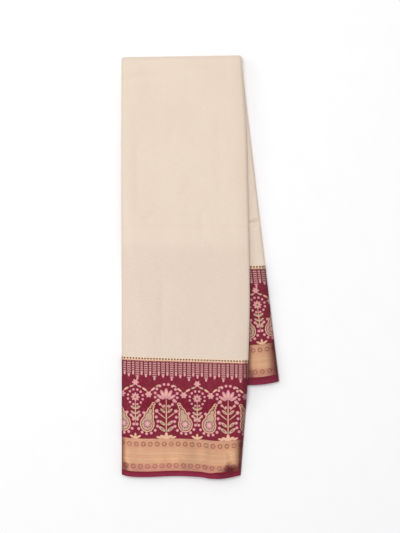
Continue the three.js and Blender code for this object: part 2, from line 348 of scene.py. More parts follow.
def front_relief(across, down, width):
    edges = edge_drop(RIGHT_EDGE, width - across, down) + edge_drop(LEFT_EDGE, across, down)
    loose = rise(down, *LOOSE_HEM)
    off_puff = (across / width - PUFF["share"]) / PUFF["width"]
    puff = PUFF["height"] * loose * np.exp(-(off_puff**2))
    flutes = FLUTES["height"] * loose * np.sin(across / FLUTES["wave"] + FLUTES["start"])
    off_fold = (down - PACKING_FOLD["down"]) / PACKING_FOLD["width"]
    packed = ABOVE_FOLD["height"] * rise(down, *ABOVE_FOLD["between"])
    packed = packed - PACKING_FOLD["depth"] * np.exp(-(off_fold**2))
    fade = rise(down, FOLD_RADIUS, FOLD_RADIUS + FADE_BY_FOLD)
    relief = creases(FRONT_CREASES, across, down) + swell(across, down) + packed - edges
    return fade * relief + puff + flutes


def back_relief(across, down):
    beside = across - front_right(down)
    waves = swell(across, down + BACK_SWELL_OFFSET) - BACK_SINKS
    wrinkled = creases(BACK_CREASES, across, down) + waves
    proud = np.maximum(wrinkled, 0) * rise(beside, *PROUD_FROM)
    sunk = np.minimum(wrinkled, 0) * rise(beside, *SUNK_FROM)
    dent = BORDER_DENT["depth"] * rise(down, *BORDER_DENT["between"]) * rise(beside, *SUNK_FROM)
    dent = dent * np.exp(-np.maximum(beside, 0) / BORDER_DENT["reach"])
    return (proud + sunk) * rise(down, *BACK_STARTS) - dent


# %% [markdown]
# Three placing functions put a point of the bundle's section into space: on the front leg, over
# the cross fold and on the back leg. A point of the section is a length from the left edge plus a
# share of the width, and a height through the bundle from its inner side to its outer side.


# %% Placing functions
def on_front(from_hem, length, share, height):
    along = 1 - from_hem / FRONT_LEG
    width = front_plan(1.0, along)[0]
    across, down = front_plan(length / width + share, along)
    relief = front_relief(across, down, width) * height / LEG_THICKNESS
    return across, down, rest_height(across, down) + height + relief


def on_fold(angle, length, share, height):
    share = length / FOLD_WIDTH + share
    radius = LEG_GAP / 2 + height
    down = FOLD_RADIUS + TOP_SLANT * (1 - share) - radius * np.sin(angle)
    return share * FOLD_WIDTH, down, FOLD_RADIUS + radius * np.cos(angle)


def on_back(from_hem, length, share, height):
    along = 1 - from_hem / BACK_LEG
    width = back_plan(1.0, along)[0] - back_plan(0.0, along)[0]
    across, down = back_plan(length / width + share, along)
    relief = back_relief(across, down) * (1 - height / LEG_THICKNESS)
    return across, down, LEG_THICKNESS - height + relief


CROWN = {"x": cad_box[0][0] / MM, "y": cad_box[1][1] / MM}


def placed(where, distance, length, share, height):
    """Points in the frame, in metres: one row for each distance, one column for each spot."""
    spots = np.broadcast_arrays(distance, length, share, height)
    across, down, up = np.broadcast_arrays(*where(*spots))
    return np.stack([CROWN["x"] + across, CROWN["y"] - down, up], axis=-1) * MM


# %% [markdown]
# The outermost cloth goes all round the bundle. Its section starts in the tuck under the left
# fold, curls round to the face, crosses it, goes round the right fold, and comes back along the
# inner side. Each spot of the section also has a run, its distance along the cloth from the left
# edge, which the weave and the borders follow.


# %% Section of the outermost cloth
SPOTS = {"tuck": 4, "left_fold": 8, "face": 100, "right_fold": 12, "inner_side": 42}
INNER_SIDE_END = 0.8
UPRIGHT = math.pi / 2


def section():
    """The spots' length, share, height and run, with the run again as a length and a share."""
    rows = []

    def spots(name, first, last):
        return np.linspace(first, last, SPOTS[name] + 1)

    middle, top = LEG_THICKNESS / 2, LEG_THICKNESS
    for inset in spots("tuck", TUCK_DEPTH, CURL_RADIUS)[:-1]:
        rows.append((inset, 0, middle, (2 - math.pi) * CURL_RADIUS - inset, 0))
    for a in spots("left_fold", -UPRIGHT, UPRIGHT)[:-1]:
        rows.append((CURL_RADIUS * (1 - math.cos(a)), 0, top - CURL_RADIUS * (1 - math.sin(a)),
                     CURL_RADIUS + (a - UPRIGHT) * CURL_RADIUS, 0))
    for t in spots("face", 0, 1)[:-1]:
        inset = mix(CURL_RADIUS, -SIDE_RADIUS, t)
        rows.append((inset, t, top, inset, t))
    for a in spots("right_fold", UPRIGHT, -UPRIGHT)[:-1]:
        rows.append((-SIDE_RADIUS * (1 - math.cos(a)), 1, middle + SIDE_RADIUS * math.sin(a),
                     -SIDE_RADIUS + (UPRIGHT - a) * SIDE_RADIUS, 1))
    for t in spots("inner_side", 0, 1):
        inset = mix(-SIDE_RADIUS, INNER_SIDE_END, t)
        rows.append((inset, 1 - t, 0, (math.pi - 2) * SIDE_RADIUS - inset, 1 + t))
    return np.array(rows).T


spot_length, spot_share, spot_height, run_length, run_share = section()
print(len(spot_length), "spots round the bundle")

# %% [markdown]
# Each stretch of the outer cloth starts as a plain grid, with one column for a spot and one row
# for a station along the bundle. Its vertices are then moved to their places, and its UV map is
# rewritten in millimetres. Solidify gives the silk its thickness, towards the inside.

# %% Grids and thickness
SHARP_FROM = {"cloth": 50, "layers": 35}


def select_only(obj):
    bpy.ops.object.select_all(action="DESELECT")
    obj.select_set(True)
    bpy.context.view_layer.objects.active = obj


def write_map(mesh, name, across, up):
    """A UV map in millimetres, from two numbers for each vertex."""
    layer = mesh.uv_layers.get(name) or mesh.uv_layers.new(name=name)
    vertex = np.empty(len(mesh.loops), int)
    mesh.loops.foreach_get("vertex_index", vertex)
    layer.uv.foreach_set("vector", np.stack([across, up], axis=-1)[vertex].ravel())


def cloth_grid(name, points, maps):
    """A grid laid on points, an array of rows, columns and x, y, z, with its maps."""
    rows, columns = points.shape[:2]
    bpy.ops.object.select_all(action="DESELECT")
    bpy.ops.mesh.primitive_grid_add(
        x_subdivisions=columns - 1, y_subdivisions=rows - 1, size=1, calc_uvs=True)
    obj = bpy.context.object
    obj.name = obj.data.name = name
    mesh = obj.data
    flat = np.empty(len(mesh.vertices) * 3)
    mesh.vertices.foreach_get("co", flat)
    flat = flat.reshape(-1, 3)
    column = np.rint((flat[:, 0] + 0.5) * (columns - 1)).astype(int)
    row = np.rint((flat[:, 1] + 0.5) * (rows - 1)).astype(int)
    mesh.vertices.foreach_set("co", points[row, column].ravel())
    mesh.uv_layers[0].name = "cloth"
    for map_name, (first, second) in maps.items():
        write_map(mesh, map_name, first[row, column], second[row, column])
    mesh.update()
    return obj


def thicken(obj):
    """Gives a sheet the cloth's thickness, on its inner side."""
    select_only(obj)
    shell = obj.modifiers.new("thickness", "SOLIDIFY")
    shell.thickness = CLOTH * MM
    shell.offset = -1
    bpy.ops.object.modifier_apply(modifier=shell.name)
    bpy.ops.object.shade_smooth_by_angle(angle=math.radians(SHARP_FROM["cloth"]))


# %% [markdown]
# A run is a part of the bundle, given by its stations. Each station has a climb, the cloth's
# distance up from the hem in the drawn borders, and a width.


# %% Runs along the bundle
def stations(first, last, spacing):
    return np.linspace(first, last, max(2, round(abs(last - first) / spacing) + 1))


def drawn_rise(leg, from_hem):
    """Where a place up from the hem lies in the drawn borders, whose bands have other heights."""
    whole = FRONT_LEG + BACK_LEG
    return np.interp(from_hem, [0, *BAND_TOPS[leg].values(), whole],
                     [0, *DRAWN_TOPS.values(), whole])


def front_run(first, last, spacing):
    from_hem = stations(first, last, spacing)
    width = front_plan(1.0, 1 - from_hem / FRONT_LEG)[0]
    return on_front, from_hem, drawn_rise("front", from_hem), width


def back_run(first, last, spacing, rise_at=None):
    from_hem = stations(first, last, spacing)
    along = 1 - from_hem / BACK_LEG
    width = back_plan(1.0, along)[0] - back_plan(0.0, along)[0]
    climb = drawn_rise("back", from_hem) if rise_at is None else rise_at + (first - from_hem)
    return on_back, from_hem, climb, width


def fold_run(cells):
    angle = np.linspace(0, math.pi, cells + 1)[1:]
    return on_fold, angle, FRONT_LEG + angle * FOLD_RADIUS, np.full(cells, FOLD_WIDTH)


def beside_front(points):
    """How far points of the back leg are from the front leg's right edge, in mm."""
    across = points[..., 0] / MM - CROWN["x"]
    down = CROWN["y"] - points[..., 1] / MM
    return np.abs(across - front_right(down))


# %% [markdown]
# A stretch is made of one run or more. Its first map holds each place's distance across the cloth
# and its climb. Its second map holds how far it is from the left fold and from the right one, for
# the painted shade along the folds. On the back leg the line where the front leg's edge lies counts
# as a left fold too, so that the front leg's shadow is painted there. The borders are woven in, so
# neighbouring stretches meet edge to edge.


# %% Stretches of the outer cloth
def stretch(name, *runs):
    parts = []
    for where, distance, climb, width in runs:
        width = width[:, None]
        points = placed(where, distance[:, None], spot_length, spot_share, spot_height)
        across = run_length + run_share * width
        from_left = spot_length + spot_share * width
        # on the back leg the front leg's edge counts as a left fold, for its painted shadow
        to_left = np.minimum(from_left, beside_front(points)) if where is on_back else from_left
        climb = np.broadcast_to(climb[:, None], across.shape)
        parts.append((points, across, climb, to_left, width - from_left))
    points, *columns = map(np.concatenate, zip(*parts))
    obj = cloth_grid(name, points, {"cloth": columns[:2], "folds": columns[2:]})
    thicken(obj)
    return obj


STATION, FOLD_STATION, FOLD_CELLS = 2.6, 1.5, 24
FRONT_TOP = FRONT_LEG - SEAM_BY_FOLD
BACK_TOP = BACK_LEG - SEAM_BY_FOLD
BAND_NAMES = ("selvedge", "zari", "figured", "field")
LIMITS = {}
for leg, field_top in (("front", FRONT_TOP), ("back", BACK_TOP)):
    edges = [0, *BAND_TOPS[leg].values(), field_top]
    LIMITS[leg] = dict(zip(BAND_NAMES, zip(edges[:-1], edges[1:])))

outer = {}
for band, (low, high) in LIMITS["front"].items():
    outer[f"front_{band}"] = stretch(f"front_{band}_silk", front_run(low, high, STATION))
for band, (low, high) in LIMITS["back"].items():
    outer[f"back_{band}"] = stretch(f"back_{band}_silk", back_run(high, low, STATION))
fold_end = FRONT_LEG + math.pi * FOLD_RADIUS
outer["top_fold"] = stretch(
    "top_fold_silk",
    front_run(FRONT_TOP, FRONT_LEG, FOLD_STATION),
    fold_run(FOLD_CELLS),
    back_run(BACK_LEG - FOLD_STATION, BACK_TOP, FOLD_STATION, fold_end + FOLD_STATION),
)
for node, obj in outer.items():
    print(node, len(obj.data.polygons), "faces")

# %% [markdown]
# Inside lie thirty more layers. Only their edges show: at the hems a stack of selvedges, each
# ending a little short of or past its neighbour, and at the left the round noses of the smaller
# folds. One closed block gives both. Each layer has four rows, two shoulders with a groove on
# either side. The upper half lies within the outer cloth's left fold, and the lower half ends on
# the left in four noses.

# %% Rows of layer edges
LAYERS = 30
CLEARANCE = 0.05
LAYER_ROWS = ((0.06, 0.55), (0.3, 0.0), (0.7, 0.0), (0.94, 0.55))
NOSES = LEG_THICKNESS * np.array([0, 1 / 16, 1 / 8, 1 / 4, 1 / 2])
NOSE_INSET, NOSE_GROOVE = 0.25, 0.2
TUCK_GAP, TUCK_ROW = 0.04, (TUCK_DEPTH + 0.3, 0.4, 1.6)
rng = np.random.default_rng(7)


def round_inset(radius, off, most):
    """How far a round fold lies behind its own front line, at a place off from its middle."""
    return radius - math.sqrt(radius**2 - min(abs(off), radius * most) ** 2)


def layer_rows():
    """Height, left inset, right inset and groove depth at the hem, for each row of the block."""
    middle, top, inside = LEG_THICKNESS / 2, LEG_THICKNESS, CLOTH + CLEARANCE
    half = LAYERS // 2
    lower = np.linspace(inside, middle - CLEARANCE, half + 1)
    upper = np.linspace(middle + inside, top - inside, half + 1)
    rows = []
    for first, side in ((0, lower), (half, upper)):
        for number, (low, high) in enumerate(zip(side[:-1], side[1:]), first):
            for t, groove in LAYER_ROWS:
                height = mix(low, high, t)
                if side is lower:
                    k = np.searchsorted(NOSES, height) - 1
                    radius = (NOSES[k + 1] - NOSES[k]) / 2
                    left = round_inset(radius, height - NOSES[k] - radius, 0.98)
                    left += NOSE_INSET + groove * NOSE_GROOVE
                else:
                    off = height - (top - CURL_RADIUS)
                    left = inside + round_inset(CURL_RADIUS - inside, off, 0.98)
                right = inside + round_inset(SIDE_RADIUS - inside, height - middle, 0.99)
                rows.append((height, left, right, groove, number))
        if side is lower:
            rows.append((middle - TUCK_GAP, *TUCK_ROW, number))
            rows.append((middle + CLOTH + TUCK_GAP, *TUCK_ROW, number))
    return np.array(rows).T


row_height, row_left, row_right, row_groove, row_layer = layer_rows()
layer_short = rng.uniform(0.4, 2.4, LAYERS)
layer_wave = rng.uniform(0, 2 * math.pi, LAYERS)
row_layer = row_layer.astype(int)
print(len(row_height), "rows of layer edges")

# %% [markdown]
# The block is an array of stations, shares and rows, up the front leg, over the cross fold and down
# the back leg. Its first and last stations are the wavy hems of the layers.

# %% Block of the inner layers
HEM_WAVES = ((0.45, 17, 1), (0.3, 41, 2))
LEAST_SHORT = 0.1
BLOCK_SHARES, BLOCK_TURNS = 70, 14
FRONT_SPACING = ((5, 60, 3), (64, 180, 5), (186, FRONT_LEG, 6.5))
BACK_SPACING = ((5, 60, 4), (66, BACK_LEG, 9))


def hem_line(share):
    """How far short of the hem each row ends, for each share across."""
    wave = sum(
        height * np.sin(share * rate + times * layer_wave[row_layer])
        for height, rate, times in HEM_WAVES
    )
    return np.maximum(layer_short[row_layer] + wave, LEAST_SHORT) + row_groove


def spaced(spacing):
    """Distances from the hem, closer together where the hem's waves are."""
    return np.concatenate([stations(*row) for row in spacing])[:, None, None]


def block_points():
    """The whole block, with its map of the cloth: arrays of stations, shares and rows."""
    share = np.linspace(0, 1, BLOCK_SHARES + 1)[:, None]
    length = row_left * (1 - share) - row_right * share
    hem = hem_line(share)[None]
    front, back = spaced(FRONT_SPACING), spaced(BACK_SPACING)[::-1]
    angle = np.linspace(0, math.pi, BLOCK_TURNS + 1)[1:-1][:, None, None]
    parts = (
        (on_front, hem, drawn_rise("front", hem)),
        (on_front, front, drawn_rise("front", front)),
        (on_fold, angle, FRONT_LEG + angle * FOLD_RADIUS),
        (on_back, back, drawn_rise("back", back)),
        (on_back, hem, drawn_rise("back", hem)),
    )
    points, climbs = [], []
    for where, distance, climb in parts:
        points.append(placed(where, distance, length, share, row_height))
        climbs.append(np.broadcast_to(climb, points[-1].shape[:3]))
    points, climbs = np.concatenate(points), np.concatenate(climbs)
    runs = np.broadcast_to(share * FOLD_WIDTH, points.shape[:3])
    return points, runs, climbs


# %% [markdown]
# Nothing shows of the block's middle, so only its six sides are built.


# %% Outside of the block
def outside_of(points, runs, climbs):
    """Vertices, faces and map of those sides."""
    sizes = np.array(points.shape[:3])
    index = np.full(sizes, -1)
    skin = np.zeros(sizes, bool)
    for axis in range(3):
        skin[tuple(slice(None) if a != axis else [0, -1] for a in range(3))] = True
    index[skin] = np.arange(skin.sum())
    faces = []
    for axis, (second, third) in enumerate(((1, 2), (2, 0), (0, 1))):
        for end in (0, -1):
            side = index.take(end, axis=axis)
            if second > third:          # so that the faces turn the same way on every side
                side = side.T
            a, b, c, d = side[:-1, :-1], side[1:, :-1], side[1:, 1:], side[:-1, 1:]
            order = (a, b, c, d) if end == -1 else (d, c, b, a)
            faces.append(np.stack(order, axis=-1).reshape(-1, 4))
    return points[skin], np.concatenate(faces), np.stack([runs[skin], climbs[skin]], axis=-1)


vertices, faces, block_map = outside_of(*block_points())
mesh = bpy.data.meshes.new("inner_layers_silk")
mesh.from_pydata(vertices.tolist(), [], faces.tolist())
write_map(mesh, "cloth", *block_map.T)
inner = bpy.data.objects.new("inner_layers_silk", mesh)
bpy.context.collection.objects.link(inner)
select_only(inner)
bpy.ops.object.mode_set(mode="EDIT")
bpy.ops.mesh.select_all(action="SELECT")
bpy.ops.mesh.normals_make_consistent(inside=False)
bpy.ops.object.mode_set(mode="OBJECT")
bpy.ops.object.shade_smooth_by_angle(angle=math.radians(SHARP_FROM["layers"]))
print("inner layers:", len(mesh.polygons), "faces")

# %% [markdown]
# Each piece now stands for its CAD node. Everything rides on the one body. Each stretch's flat size
# is worked out: the section's whole way round, by the band's length. Over the cross fold the inner
# side has a shorter way to go than the face, so that area is the mean of both. The selvedges are
# too narrow to be sheets of their own, so they go with the gold bands.

# %% Ride and replace
MEAN_WIDTHS = {"front": 190.0, "back": 185.0}
SECTION_ROUND = {leg: (run_length[-1] - run_length[0] + 2 * width) * MM
                 for leg, width in MEAN_WIDTHS.items()}
LENGTHS = {"top_fold": 2 * SEAM_BY_FOLD + math.pi * FOLD_RADIUS}
for leg, limits in LIMITS.items():
    for band in ("field", "figured", "zari"):
        LENGTHS[f"{leg}_{band}"] = limits[band][1] - limits[band][0]

for node, obj in outer.items():
    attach(obj, "root")
    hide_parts(node)
face_way, inner_way = LENGTHS["top_fold"], 2 * SEAM_BY_FOLD + math.pi * LEG_GAP / 2
fold_area = SECTION_ROUND["front"] * (face_way + inner_way) / 2 * MM
for node, length in LENGTHS.items():
    leg = "back" if node.startswith("back") else "front"
    length * MM
    fold_area if node == "top_fold" else None
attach(inner, "root")
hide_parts("inner_layers")

# %% [markdown]
# The colours are woven, so the patterns follow the cloth's own map. Shader nodes draw them with
# arithmetic on two numbers: u, the distance across the cloth, and v, the distance up from the hem,
# both in millimetres. A small class lets Python's own signs build the Math nodes.


# %% Arithmetic on shader nodes
class Field:
    """A number, colour or place that changes over the cloth: one output of a node."""

    def __init__(self, tree, output):
        self.tree, self.output = tree, output

    def __add__(self, other):
        return math_node(self.tree, "ADD", self, other)

    def __sub__(self, other):
        return math_node(self.tree, "SUBTRACT", self, other)

    def __rsub__(self, other):
        return math_node(self.tree, "SUBTRACT", other, self)

    def __mul__(self, other):
        return math_node(self.tree, "MULTIPLY", self, other)

    def __abs__(self):
        return math_node(self.tree, "ABSOLUTE", self)

    __radd__, __rmul__ = __add__, __mul__


def plug(value, socket):
    """Links a field to a socket, or sets the socket to a plain value."""
    if isinstance(value, Field):
        value.tree.links.new(value.output, socket)
    else:
        socket.default_value = value


def new_node(tree, kind, inputs, output=0, **settings):
    """One output of a new shader node, with its settings and what its inputs get."""
    node = tree.nodes.new("ShaderNode" + kind)
    for name, value in settings.items():
        setattr(node, name, value)
    for socket, value in inputs.items():
        plug(value, node.inputs[socket])
    return Field(tree, node.outputs[output])


def math_node(tree, operation, *values):
    return new_node(tree, "Math", dict(enumerate(values)), operation=operation)


# %% [markdown]
# Every drawing is made of a few shapes of number: a smooth step, a band between two steps, the
# larger of several masks, a repeat, a wave, and noise.


# %% Steps, repeats and noise
def step(x, low, high):
    """0 up to low, 1 from high, smooth between them. With low above high it falls instead."""
    return new_node(x.tree, "MapRange", {"Value": x, "From Min": low, "From Max": high},
                    interpolation_type="SMOOTHSTEP")


def between(x, low, high, soft=0.3):
    return step(x, low - soft, low + soft) * step(x, high + soft, high - soft)


def union(*fields):
    total = fields[0]
    for field in fields[1:]:
        total = math_node(field.tree, "MAXIMUM", total, field)
    return total


def wrapped(x, pitch):
    """x measured from the nearest of a row of marks, pitch apart."""
    return math_node(x.tree, "WRAP", x, pitch / 2, -pitch / 2)


def length_of(x, y):
    return math_node(x.tree, "SQRT", x * x + y * y)


def sine(x, pitch, start=0.0):
    return math_node(x.tree, "SINE", x * (2 * math.pi / pitch) + start)


def noise(at, scale, detail, stretch_u=1.0, stretch_v=1.0):
    """Noise from 0 to 1, with blots about 1/scale mm wide, drawn out along u or v."""
    place = new_node(
        at.tree, "Mapping", {"Vector": at, "Scale": (scale / stretch_u, scale / stretch_v, 1)})
    return new_node(at.tree, "TexNoise", {"Vector": place, "Scale": 1, "Detail": detail},
                    noise_dimensions="2D")


def two_numbers(place):
    """The first two numbers of a place."""
    node = place.tree.nodes.new("ShaderNodeSeparateXYZ")
    plug(place, node.inputs[0])
    return Field(place.tree, node.outputs[0]), Field(place.tree, node.outputs[1])


# %% [markdown]
# A finish for silk is a Principled shader whose base colour is the ground with each woven figure
# laid over it in turn, through a mask. The thread is a fine crossed ripple that gives the sheen its
# grain close up. Sheen and roughness are the same all over a cloth, so they are set on the
# shader's own sockets.

# %% A finish for woven cloth
THREAD = 0.5
FACE_ENDS = (188, 192)
MIX_FACTOR, MIX_UNDER, MIX_OVER, MIX_RESULT = 0, 6, 7, 2


def new_material(name, **sockets):
    """A material with these values on its Principled shader's sockets."""
    material = bpy.data.materials.new(name)
    material.use_nodes = True
    shader = material.node_tree.nodes["Principled BSDF"]
    for socket, value in sockets.items():
        shader.inputs[socket.replace("_", " ")].default_value = value
    return material


def map_fields(tree, name):
    """A UV map's place, and its two numbers."""
    place = new_node(tree, "UVMap", {}, uv_map=name)
    return place, *two_numbers(place)


def cloth_fields(material):
    """The place on the cloth, its two numbers, and how far the left and right folds are."""
    tree = material.node_tree
    return *map_fields(tree, "cloth"), *map_fields(tree, "folds")[1:]


def layered(ground, *layers):
    """The ground colour with layers of (mask, colour) over it."""
    for mask, colour in layers:
        ground = new_node(
            mask.tree, "Mix", {MIX_FACTOR: mask, MIX_UNDER: ground, MIX_OVER: colour},
            MIX_RESULT, data_type="RGBA")
    return ground


def finish(colour, shade, height, depth):
    """Shades the colour, and raises the threads by height times depth, in mm."""
    tree = colour.tree
    shaded = new_node(tree, "Mix", {MIX_FACTOR: 1, MIX_UNDER: colour, MIX_OVER: shade},
                      MIX_RESULT, data_type="RGBA", blend_type="MULTIPLY")
    raised = new_node(tree, "Bump", {"Strength": 1, "Distance": depth * MM, "Height": height})
    shader = tree.nodes["Principled BSDF"]
    plug(shaded, shader.inputs["Base Color"])
    plug(raised, shader.inputs["Normal"])
    print(len(tree.nodes), "nodes")


def weave(u, v):
    """Plain weave: warp and weft ripples that cross."""
    return sine(u, THREAD) * sine(v, THREAD)


def on_reverse(u):
    """1 past the right fold, where the bundle's inner side shows, and 0 on the face."""
    return step(u, *FACE_ENDS)


# %% [markdown]
# The field is cream silk. Its weft is a little uneven, so the tone is mottled, with faint slubs
# along the weft and a very fine self-woven grain. Below the packing crease it is darker, a painted
# shade broken by small self-woven spots. Painted shade also darkens it along both folds and a
# little over the whole back leg, and a painted shadow lies beside the front leg's edge.

# %% Cream silk
CREAM_GROUND = srgb(235, 216, 197)
CREAM_DEEP = srgb(226, 206, 184)
CREAM_PALE = srgb(241, 226, 209)
CREAM_SHADE = srgb(219, 199, 184)

BELOW_CREASE = (374, 352)

cream = new_material("cream_silk", Roughness=0.55, Sheen_Weight=0.1, Sheen_Roughness=0.4)
at, u, v, left, right = cloth_fields(cream)
cloud = noise(at, 0.022, 3, stretch_v=1.6)
slubs = noise(at, 0.9, 3, stretch_u=9)
warp_lines = noise(at, 0.8, 2, stretch_v=12)
mottle = noise(at, 0.28, 3)
grain = noise(at, 1.1, 1)
on_face = 1 - on_reverse(u)
below_crease = step(v + cloud * 24, *BELOW_CREASE) * on_face
woven_spots = step(noise(at, 0.4, 2), 0.46, 0.6)
colour = layered(
    CREAM_GROUND,
    (step(cloud, 0.35, 0.7) * 0.3, CREAM_DEEP),
    # painted shade below the packing crease, lighter where the self-woven spots are
    (below_crease * (0.5 - woven_spots * 0.3), CREAM_SHADE),
    (step(mottle, 0.42, 0.72) * 0.2, CREAM_DEEP),
    (step(slubs, 0.5, 0.75) * 0.3, CREAM_PALE),
    (step(warp_lines, 0.55, 0.8) * 0.2, CREAM_DEEP),
    # painted shade where the face turns over the right fold
    (step(right, 26, 2) * on_face * 0.5, CREAM_DEEP),
    # painted shade along the left fold, and the front leg's painted shadow on the back leg
    (step(left, 5, 0.5) * 0.45, CREAM_SHADE),
)
threads = weave(u, v)
# the back leg past the right fold is a painted shade darker; grain and threads are the cloth's own
finish(colour, 0.985 - on_reverse(u) * 0.03 + grain * 0.02 + threads * 0.035,
       threads + grain * 0.4 + slubs * 0.6, 0.045)

# %% [markdown]
# The gold band is metal thread: bright where it faces the light, brown where it turns away. Thin
# darker stripes run along its middle, and a row of ringed medallions runs above and below them,
# one medallion repeated by wrapping the distance across the cloth.

# %% Gold zari band
ZARI_GROUND = srgb(214, 164, 128)
ZARI_PINK = srgb(197, 140, 118)
ZARI_ROSE = srgb(188, 124, 114)
ZARI_DEEP = srgb(150, 84, 66)
ZARI_PALE = srgb(226, 194, 160)
# dark maroon painted over the gold as shade
ZARI_SHADE_PAINT = srgb(88, 20, 28)
MAROON_RED = srgb(124, 12, 36)

LOWER_ROW, STRIPED, UPPER_ROW, TOP_LINE = (8.5, 20.4), (20.8, 42.0), (42.6, 54.5), (54.6, 57.9)
# the span across where the painted shade of the corner hollow fades in
HEM_CORNER, CORNER_SHADE_SPAN = 161, (139, 158)

zari = new_material(
    "gold_zari", Metallic=0.85, Roughness=0.34, Sheen_Weight=0.04, Sheen_Roughness=0.35)
at, u, v, left, right = cloth_fields(zari)


def medallions(v_centre, pitch, radius, start):
    """A row of rings, each with a fine dot in it and a notched rim."""
    x, y = wrapped(u + start, pitch), v - v_centre
    from_centre = length_of(x, y)
    angle = math_node(u.tree, "ARCTAN2", y, x)
    notch = math_node(u.tree, "SINE", angle * 8) * 0.3
    ring = between(from_centre + notch, radius - 2.0, radius - 0.2, 0.35)
    return union(ring, step(from_centre, 0.9, 0.5) * 0.5)


upper_row = medallions(49.6, pitch=10.6, radius=3.9, start=-1.3)
lower_row = medallions(16.0, pitch=10.9, radius=4.0, start=4.0)
stripes = between(v, *STRIPED) * step(sine(v, 2.9), 0.25, 0.9)
broad_stripes = between(v, *STRIPED) * step(sine(v, 8.7, 1.0), 0.6, 1.0)
pink_rows = union(between(v, *UPPER_ROW, 0.8), between(v, *LOWER_ROW, 0.8))
top_line = between(v, *TOP_LINE) * (0.3 + 0.4 * step(sine(u, 2.2), -0.2, 0.4))
hatch = step(sine(v, 1.5) * sine(u, 1.9), 0.1, 0.6)

# %% [markdown]
# Painted shade turns the gold dark maroon along both folds and in the hollow by the right corner
# of the hem, and a painted shadow lies beside the front leg's edge on the back leg. The maroon
# below the gold climbs a little by that corner. A few wide bands across are painted lighter or
# darker, as light and shade where the cloth would tilt, and the back leg is painted a little
# darker.

# %% Painted shade on the gold
brushed = noise(at, 0.7, 3, stretch_u=14)
blotch = step(noise(at, 0.022, 2, stretch_v=4), 0.3, 0.7)
# painted shade in the hollow by the hem's right corner
corner_height = v - step(abs(u - HEM_CORNER), 6, 0) * 5
corner = (
    step(u - v * 0.42, *CORNER_SHADE_SPAN) * (1 - on_reverse(u)) * step(corner_height, 23, 12)
    * (0.97 - step(u, 166, 174) * 0.12)
)
# painted shade along both folds and in the corner hollow, with the front leg's painted shadow
painted_shade = union(
    step(right + blotch * 2, 18, 2) * 0.88,
    corner,
    step(left - step(v, 26, 10) * 4, 8.5, 1) * 0.7,
)
colour = layered(
    ZARI_GROUND,
    (pink_rows * (0.35 + hatch * 0.45), ZARI_PINK),
    (step(v, 21, 17) * 0.55, ZARI_ROSE),
    (stripes * 0.2, ZARI_DEEP),
    (broad_stripes * 0.25, ZARI_PALE),
    (top_line, ZARI_PINK),
    (union(upper_row, lower_row * 0.85) * 0.8, ZARI_DEEP),
    (step(brushed, 0.5, 0.8) * 0.3, ZARI_PALE),
    # the painted shade over the gold
    (painted_shade, ZARI_SHADE_PAINT),
    (step(v - step(abs(u - 150), 18, 4) * 1.8, 8.2, 7.6), MAROON_RED),
)
# painted light and shade: one lighter band, darker bands across, and the back leg darker
painted_light_bands = (
    step(abs(u - 40), 28, 4) * 0.05 - step(abs(u - 106), 24, 2) * 0.12
    - step(abs(u - 160), 24, 8) * 0.07 - on_reverse(u) * 0.04
)
finish(colour, 0.86 + blotch * 0.2 + painted_light_bands,
       sine(v, THREAD) * 0.4 + brushed - 0.8 * union(upper_row, lower_row), 0.09)

# %% [markdown]
# The selvedge is the narrow edge of the cloth, plain maroon and woven tighter than the rest, so it
# is ribbed. It is redder next to the gold. Painted shade darkens it at both folds, in the hollow by
# the hem's right corner, and over the back leg.

# %% Maroon selvedge
MAROON_GROUND = srgb(142, 30, 62)
MAROON_DEEP = srgb(92, 14, 38)
MAROON_BRIGHT = srgb(150, 42, 72)
BORDER_GROUND = srgb(125, 21, 44)

selvedge = new_material(
    "maroon_selvedge", Roughness=0.55, Specular_IOR_Level=0.2, Sheen_Weight=0.04)
at, u, v, left, right = cloth_fields(selvedge)
ribs = sine(v, 1.3)
uneven = noise(at, 0.25, 3, stretch_u=3)
colour = layered(
    MAROON_GROUND,
    (step(uneven, 0.4, 0.7) * 0.6, MAROON_BRIGHT),
    (step(v + uneven * 2, 4.4, 7.0) * 0.6, MAROON_RED),
    (step(ribs, 0.4, 1.0) * 0.3, MAROON_DEEP),
    # painted shade along both folds and the front leg's edge
    (union(step(right, 12, 0), step(left, 8, 0)) * 0.4, MAROON_DEEP),
    # painted shade in the hollow by the hem's right corner
    (step(abs(u - 160), 20, 6) * 0.55, MAROON_DEEP),
)
# the back leg's darker tone is painted shade
finish(colour, 0.95 + uneven * 0.1 - on_reverse(u) * 0.2, weave(u, v) * 0.4 + ribs, 0.08)

# %% [markdown]
# The broad border's figures are common ones of Indian weaving, in a design made for this part: a
# lotus plant, a paisley on each side that leans to it, round blossoms, and rosettes. One repeat is
# mirrored by the absolute value of the distance from its middle, so only half is drawn. Every
# figure is a distance in millimetres inside an outline, and a union of ovals makes leaves, petals
# and paisleys.

# %% Outlines for the figures
REPEAT, REPEAT_START = 94.0, 26.0
GROUND_LINE = DRAWN_TOPS["zari"]

border = new_material(
    "figured_border", Roughness=0.55, Specular_IOR_Level=0.2, Sheen_Weight=0.04)
tree = border.node_tree
at, u, v, left, right = cloth_fields(border)
mirrored = abs(wrapped(u + REPEAT_START, REPEAT))
level = v - GROUND_LINE
figure_at = new_node(tree, "CombineXYZ", {0: mirrored, 1: level})


def local(x, y, turn=0.0, wide=1.0, high=1.0):
    """The drawing's place measured from x, y, along axes turned by so many degrees."""
    return new_node(tree, "Mapping", {
        "Vector": figure_at, "Location": (x, y, 0), "Rotation": (0, 0, math.radians(turn)),
        "Scale": (wide, high, 1),
    }, vector_type="TEXTURE")


def oval(x, y, wide, high, turn=0.0):
    """Distance inside an oval with those half sizes, in mm."""
    place = local(x, y, turn, wide, high)
    size = new_node(tree, "VectorMath", {0: place}, "Value", operation="LENGTH")
    return (1 - size) * min(wide, high)


